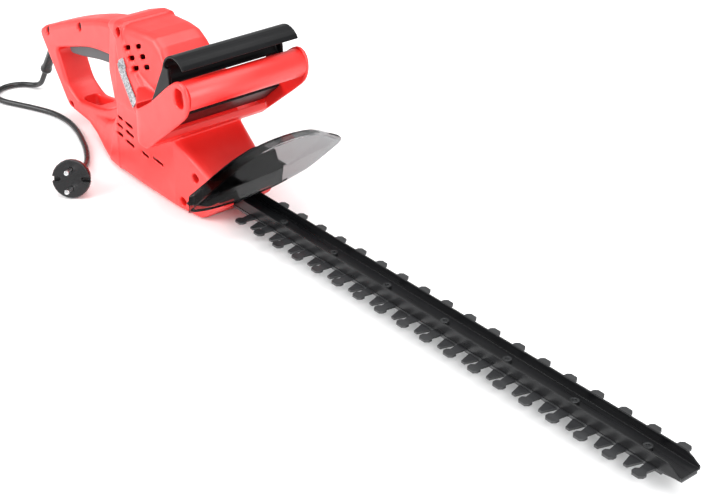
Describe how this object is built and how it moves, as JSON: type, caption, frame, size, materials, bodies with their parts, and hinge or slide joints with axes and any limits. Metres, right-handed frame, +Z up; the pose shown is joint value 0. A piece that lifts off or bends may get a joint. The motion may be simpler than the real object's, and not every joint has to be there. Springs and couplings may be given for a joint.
{
  "type": "hedge trimmer",
  "caption": "Corded electric hedge trimmer with a rear D handle and trigger, a front bar handle with a two-hand lever, a smoked hand guard and a double-sided toothed blade.",
  "frame": {"origin": "centre of the base plate's flat bottom face, which the tool rests on", "axes": "+X along the blade, from the rear handle to the blade's tip; -Y the tool's right side; +Z up"},
  "size_m": [1.0114, 0.2166, 0.1875],
  "materials": {
    "red_plastic": "satin moulded",
    "black_plastic": "satin moulded",
    "grey_plastic": "satin moulded",
    "smoked_plastic": "gloss, smoked and slightly clear",
    "coated_steel": "dark low-friction coating",
    "steel": "machined",
    "copper": null,
    "cast_aluminium": "cast",
    "bright_metal": "bright satin",
    "rubber": "gloss flexible plastic"
  },
  "bodies": {
    "housing": {"housing_right": "red_plastic", "housing_left": "red_plastic", "front_handle_bar": "red_plastic", "base_plate": "black_plastic", "lever_spring": "steel", "trigger_pin": "steel", "trigger_spring": "steel", "hand_guard": "smoked_plastic", "guard_bracket": "black_plastic", "blade_channel": "coated_steel", "blade_comb": "coated_steel", "blade_bolt_1": "steel", "blade_nut_1": "steel", "blade_bolt_2": "steel", "blade_nut_2": "steel", "blade_bolt_3": "steel", "blade_nut_3": "steel", "blade_bolt_4": "steel", "blade_nut_4": "steel", "blade_bolt_5": "steel", "blade_nut_5": "steel", "blade_bolt_6": "steel", "blade_nut_6": "steel", "blade_bolt_7": "steel", "blade_nut_7": "steel", "gear_shaft": "steel", "stator": "steel", "bearing_upper": "steel", "bearing_lower": "steel", "brush_holder_1": "black_plastic", "brush_holder_2": "black_plastic", "motor_cap": "black_plastic", "gear_plate": "cast_aluminium", "microswitch_rear": "black_plastic", "microswitch_front": "black_plastic", "cord_clamp": "black_plastic", "cord_bush": "rubber", "cord": "rubber", "plug_body": "rubber", "plug_pin_1": "bright_metal", "plug_pin_2": "bright_metal", "screw_grip_rear": "steel", "screw_grip_front": "steel", "screw_rear_top": "steel", "screw_rear_low": "steel", "screw_front": "steel", "screw_front_low": "steel", "screw_bar_right": "steel", "screw_bar_left": "steel", "badge_right": "bright_metal", "badge_left": "bright_metal"},
    "lever": {"switch_lever": "black_plastic"},
    "trigger": {"trigger": "grey_plastic"},
    "gear": {"drive_gear": "steel"},
    "rotor": {"motor_shaft": "steel", "armature_core": "copper", "commutator": "copper", "fan": "black_plastic", "pinion": "steel"},
    "cutter": {"cutter_blade": "coated_steel"}
  },
  "joints": [
    {"name": "trigger_press", "type": "hinge", "parent": "housing", "child": "trigger", "pos_m": [-0.131, 0, 0.121], "axis": [0, 1, 0], "range_deg": [0, 6], "stiffness_Nm_per_rad": 1.2, "springref_deg": -6.88, "deforming": ["trigger_spring"]},
    {"name": "lever_press", "type": "hinge", "parent": "housing", "child": "lever", "pos_m": [0.024, 0, 0.097], "axis": [0, 1, 0], "range_deg": [0, 6], "stiffness_Nm_per_rad": 1.5, "springref_deg": -6.88},
    {"name": "motor_spin", "type": "hinge", "parent": "housing", "child": "rotor", "pos_m": [-0.042, 0, 0.08], "axis": [0, 0, 1], "continuous": true},
    {"name": "gear_spin", "type": "hinge", "parent": "housing", "child": "gear", "pos_m": [-0.006, 0, 0.03], "axis": [0, 0, 1], "continuous": true},
    {"name": "cutter_slide", "type": "slide", "parent": "housing", "child": "cutter", "axis": [1, 0, 0], "range_m": [-0.008, 0.008]}
  ],
  "couplings": [
    {"joint": "gear_spin", "follows": "motor_spin", "ratio": -0.26316}
  ]
}
